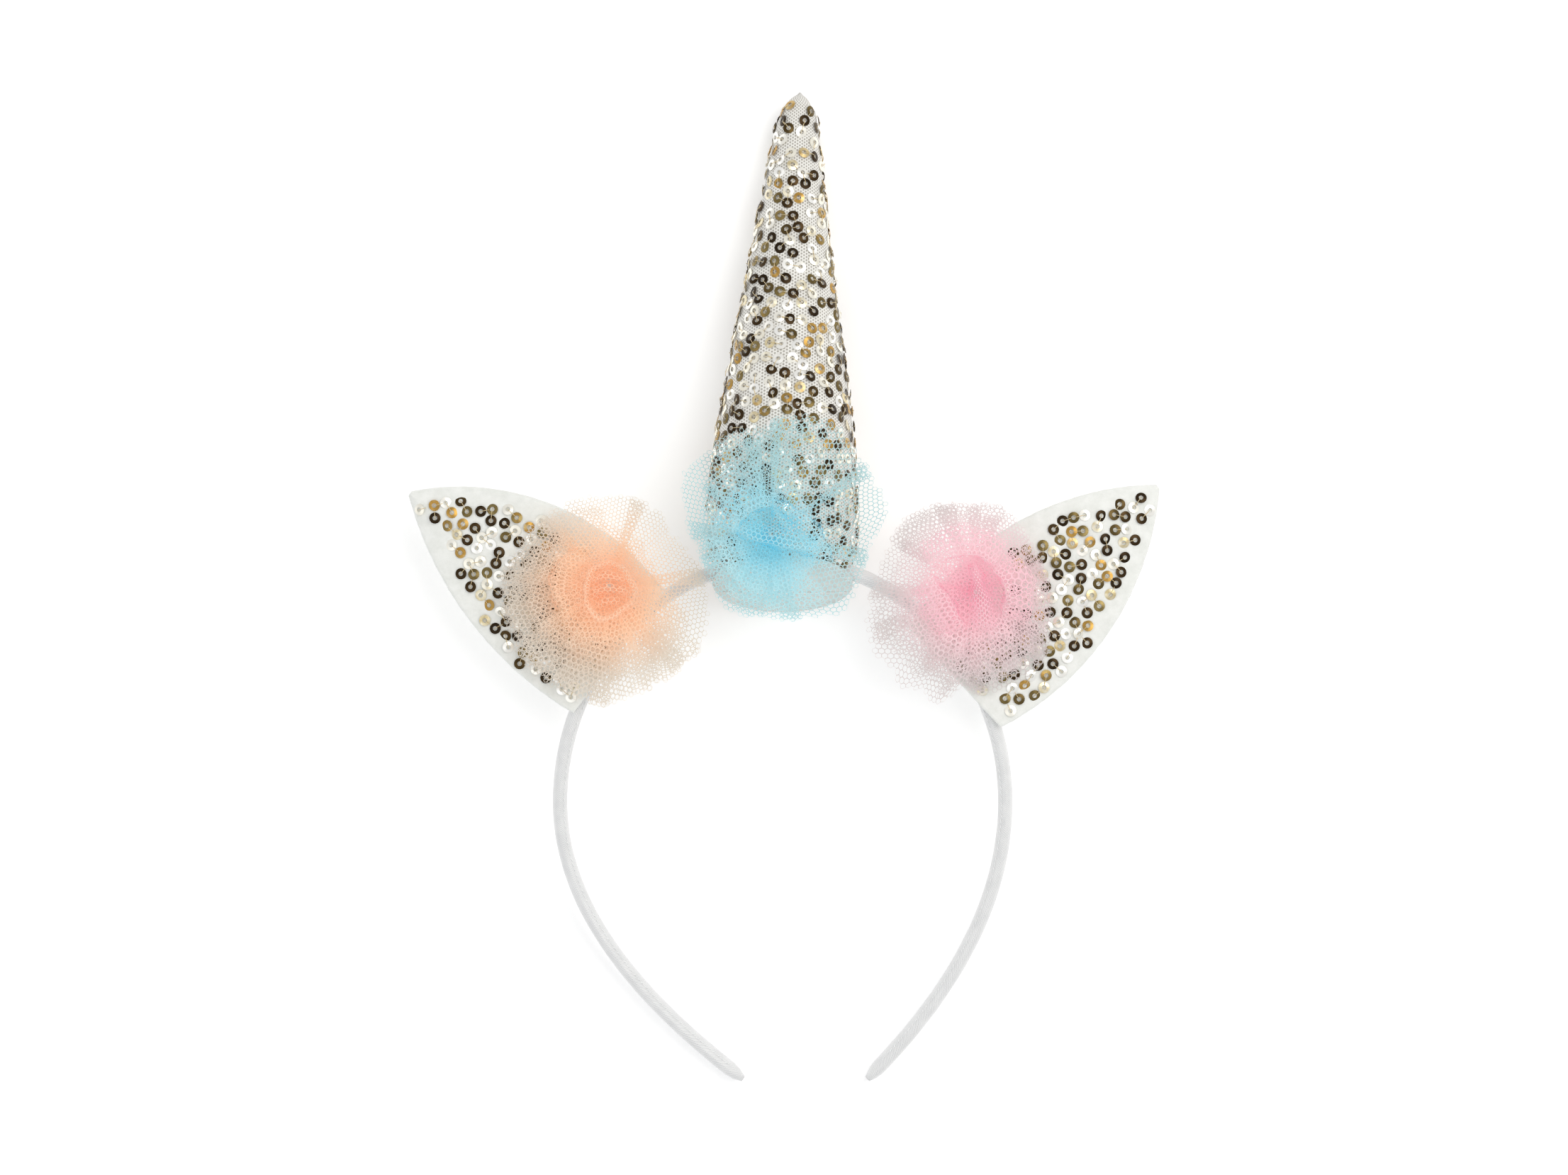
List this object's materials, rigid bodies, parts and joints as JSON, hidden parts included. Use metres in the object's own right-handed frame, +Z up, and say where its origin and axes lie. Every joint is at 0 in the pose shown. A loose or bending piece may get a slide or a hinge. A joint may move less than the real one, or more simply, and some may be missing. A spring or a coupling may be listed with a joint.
{
  "type": "unicorn horn headband",
  "caption": "Thin satin headband with a stuffed, sequined horn, pointed felt ears and gathered tulle rosettes, lying on its back.",
  "frame": {"origin": "on the surface that it lies on, below the middle of its box", "axes": "+X to the right seen from the front, +Y from the tips of the band to the tip of the horn, +Z up, out of the headband's front"},
  "size_m": [0.2016, 0.2688, 0.0597],
  "materials": {
    "satin": "light grey satin ribbon, wound",
    "gold_sequins": "pale gold flat sequins on white net over felt",
    "white_felt": "white felt, matt and fuzzy",
    "tulle_peach": "peach tulle, gathered",
    "tulle_blue": "sky blue tulle, gathered",
    "tulle_pink": "pink tulle, gathered"
  },
  "bodies": {
    "root": {"headband": "satin", "horn": "gold_sequins", "horn_base": "white_felt", "ear_left": "white_felt", "ear_right": "white_felt", "rosette_peach": "tulle_peach", "rosette_blue": "tulle_blue", "rosette_pink": "tulle_pink"}
  },
  "joints": []
}
